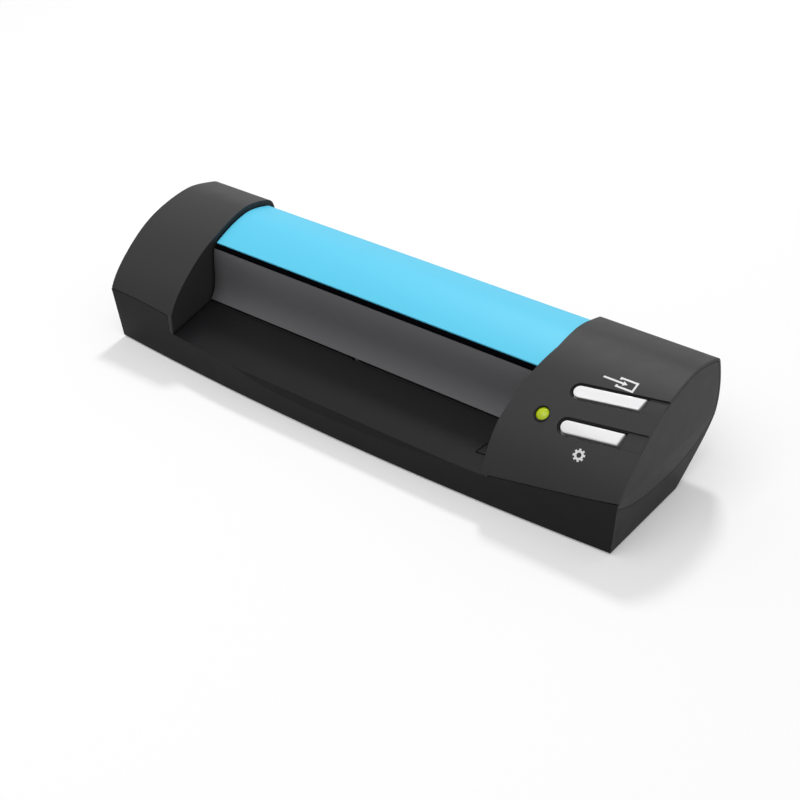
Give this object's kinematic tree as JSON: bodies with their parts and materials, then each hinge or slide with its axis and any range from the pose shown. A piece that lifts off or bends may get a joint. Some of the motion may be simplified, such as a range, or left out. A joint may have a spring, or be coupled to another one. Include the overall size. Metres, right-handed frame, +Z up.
{
  "type": "business card scanner",
  "caption": "Sheet-fed desk scanner: a lift-up cover with a glossy panel between two end housings, a feed ledge in front, keys and a lamp at the right.",
  "frame": {"origin": "on the table, under the middle of the scanner's length and depth", "axes": "+X along the length towards the keys, +Y from the feed side to the rear, +Z up"},
  "size_m": [0.172, 0.0526, 0.0367],
  "materials": {
    "case_black": "fine moulded satin",
    "housing_grey": "fine moulded satin",
    "cover_grey": "smooth satin",
    "panel_blue": "high gloss",
    "key_white": "gloss",
    "lamp_lime": "clear tinted gloss",
    "inner_black": "matte",
    "flag_plastic": "matte",
    "strip_white": "matte",
    "steel": "bright",
    "roller_rubber": "ground matte",
    "pinch_plastic": "matte",
    "bush_bronze": "sintered",
    "gear_acetal": "satin",
    "pinion_brass": "bright",
    "glass": "clear",
    "foam": "open cell",
    "cable_film": "satin film",
    "board_green": "solder mask",
    "chip_black": "matte"
  },
  "bodies": {
    "base": {"lower_case": "case_black", "left_housing": "housing_grey", "right_housing": "housing_grey", "left_end_panel": "housing_grey", "right_end_panel": "housing_grey", "status_lamp": "lamp_lime", "paper_bed": "inner_black", "sensor_bar": "inner_black", "flag_sensor": "inner_black", "flag_pin": "steel", "gear_plate": "steel", "gear_posts": "steel", "retaining_rings": "steel", "motor_screws": "steel", "case_screws": "steel", "small_screws": "steel", "motor": "steel", "usb_socket": "steel", "rubber_feet": "roller_rubber", "roller_bushes": "bush_bronze", "sensor_glass": "glass", "sensor_pads": "foam", "sensor_cable": "cable_film", "switch_cable": "cable_film", "main_board": "board_green", "switch_board": "board_green", "board_parts": "chip_black", "key_switches": "chip_black"},
    "cover": {"cover_shell": "cover_grey", "cover_panel": "panel_blue", "cover_guide": "inner_black", "calibration_strip": "strip_white", "pinch_springs": "steel", "hinge_pins": "steel"},
    "front_drive": {"front_drive_shaft": "steel", "front_drive_sleeves": "roller_rubber", "front_roller_gear": "gear_acetal"},
    "rear_drive": {"rear_drive_shaft": "steel", "rear_drive_sleeves": "roller_rubber", "rear_roller_gear": "gear_acetal"},
    "front_pinch": {"front_pinch_roller": "pinch_plastic"},
    "rear_pinch": {"rear_pinch_roller": "pinch_plastic"},
    "idler": {"idler_gear": "gear_acetal"},
    "compound": {"compound_gear": "gear_acetal"},
    "pinion": {"motor_pinion": "pinion_brass"},
    "scan_button": {"scan_key": "key_white"},
    "custom_button": {"custom_key": "key_white"},
    "flag": {"paper_flag": "flag_plastic"}
  },
  "joints": [
    {"name": "cover_hinge", "type": "hinge", "parent": "base", "child": "cover", "pos_m": [0, 0.02205, 0.0206], "axis": [-1, 0, 0], "range_deg": [0, 65]},
    {"name": "front_drive_spin", "type": "hinge", "parent": "base", "child": "front_drive", "pos_m": [-0.067, -0.00285, 0.0113], "axis": [1, 0, 0], "continuous": true},
    {"name": "rear_drive_spin", "type": "hinge", "parent": "base", "child": "rear_drive", "pos_m": [-0.067, 0.01445, 0.0113], "axis": [1, 0, 0], "continuous": true},
    {"name": "idler_spin", "type": "hinge", "parent": "base", "child": "idler", "pos_m": [-0.067, 0.0058, 0.01292], "axis": [1, 0, 0], "continuous": true},
    {"name": "compound_spin", "type": "hinge", "parent": "base", "child": "compound", "pos_m": [-0.067, 0.001, 0.01932], "axis": [1, 0, 0], "continuous": true},
    {"name": "motor_spin", "type": "hinge", "parent": "base", "child": "pinion", "pos_m": [-0.067, 0.0082, 0.02281], "axis": [1, 0, 0], "continuous": true},
    {"name": "front_pinch_spin", "type": "hinge", "parent": "cover", "child": "front_pinch", "pos_m": [-0.0059, -0.00285, 0.0168], "axis": [1, 0, 0], "continuous": true},
    {"name": "rear_pinch_spin", "type": "hinge", "parent": "cover", "child": "rear_pinch", "pos_m": [-0.0059, 0.01445, 0.0168], "axis": [1, 0, 0], "continuous": true},
    {"name": "scan_press", "type": "slide", "parent": "base", "child": "scan_button", "axis": [0, 0.5948, -0.8039], "range_m": [0, 0.0006], "stiffness_N_per_m": 300, "springref_m": -0.0005},
    {"name": "custom_press", "type": "slide", "parent": "base", "child": "custom_button", "axis": [0, 0.5948, -0.8039], "range_m": [0, 0.0006], "stiffness_N_per_m": 300, "springref_m": -0.0005},
    {"name": "flag_tilt", "type": "hinge", "parent": "base", "child": "flag", "pos_m": [-0.0059, -0.00925, 0.0091], "axis": [-1, 0, 0], "range_deg": [0, 18], "stiffness_Nm_per_rad": 0.0001, "springref_deg": -22.92}
  ],
  "couplings": [
    {"joint": "rear_drive_spin", "follows": "front_drive_spin", "ratio": 1},
    {"joint": "idler_spin", "follows": "front_drive_spin", "ratio": -0.57143},
    {"joint": "compound_spin", "follows": "front_drive_spin", "ratio": 1.3333},
    {"joint": "motor_spin", "follows": "front_drive_spin", "ratio": -4},
    {"joint": "front_pinch_spin", "follows": "front_drive_spin", "ratio": -1.3636},
    {"joint": "rear_pinch_spin", "follows": "front_drive_spin", "ratio": -1.3636}
  ]
}
